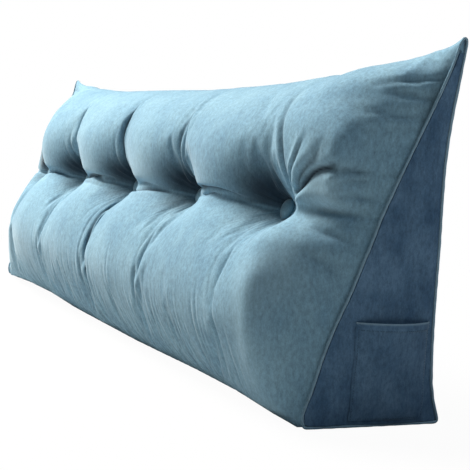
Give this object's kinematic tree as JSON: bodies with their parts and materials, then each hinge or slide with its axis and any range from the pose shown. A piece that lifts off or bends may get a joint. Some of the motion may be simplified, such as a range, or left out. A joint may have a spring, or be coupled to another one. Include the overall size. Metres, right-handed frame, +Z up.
{
  "type": "tufted wedge back cushion",
  "caption": "Long wedge-shaped back cushion in soft plush cloth, with buttoned tufts across its sloped front, welted side panels with raised ears, and a patch pocket at the right end.",
  "frame": {"origin": "on the flat base, at the middle of the cushion's length and between the front and back edges of the base", "axes": "+X along the length, from the far end to the pocket end; +Y from the tufted front to the back; +Z up from the base to the ears"},
  "size_m": [1.5003, 0.2583, 0.4955],
  "materials": {
    "cushion_cloth": "soft plush, dusty blue",
    "panel_cloth": "soft plush, dusty blue",
    "welt_cloth": "soft plush, dusty blue",
    "button_cloth": "soft plush, dusty blue"
  },
  "bodies": {
    "root": {"cushion_body": "cushion_cloth", "side_panel_right": "panel_cloth", "side_panel_left": "panel_cloth", "piping_right": "welt_cloth", "piping_left": "welt_cloth", "pocket_right": "panel_cloth", "button_1": "button_cloth", "button_2": "button_cloth", "button_3": "button_cloth", "button_4": "button_cloth", "button_5": "button_cloth"}
  },
  "joints": []
}
